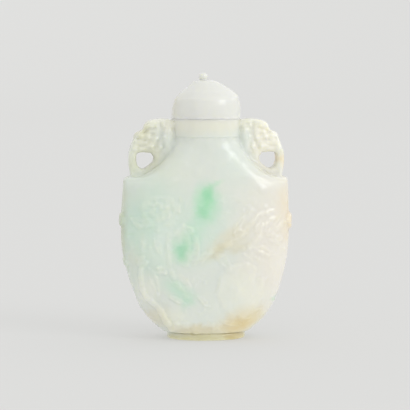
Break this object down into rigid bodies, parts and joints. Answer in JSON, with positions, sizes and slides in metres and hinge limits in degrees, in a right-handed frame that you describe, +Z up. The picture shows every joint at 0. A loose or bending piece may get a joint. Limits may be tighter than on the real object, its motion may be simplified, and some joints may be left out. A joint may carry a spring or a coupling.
{
  "type": "snuff bottle",
  "caption": "Flattened ovoid jade snuff bottle, hollow, with mask-and-ring handles, a peach branch carved in relief and a domed stopper.",
  "frame": {"origin": "centre of the foot rim's underside, on the surface the bottle stands on", "axes": "+Z up to the stopper's bud, +X to the viewer's right when facing the carved front, and the carved front faces -Y"},
  "size_m": [0.0456, 0.0228, 0.07],
  "materials": {
    "pale_green_jade": null,
    "white_jade": null
  },
  "bodies": {
    "root": {"bottle": "pale_green_jade", "stopper": "white_jade"}
  },
  "joints": []
}
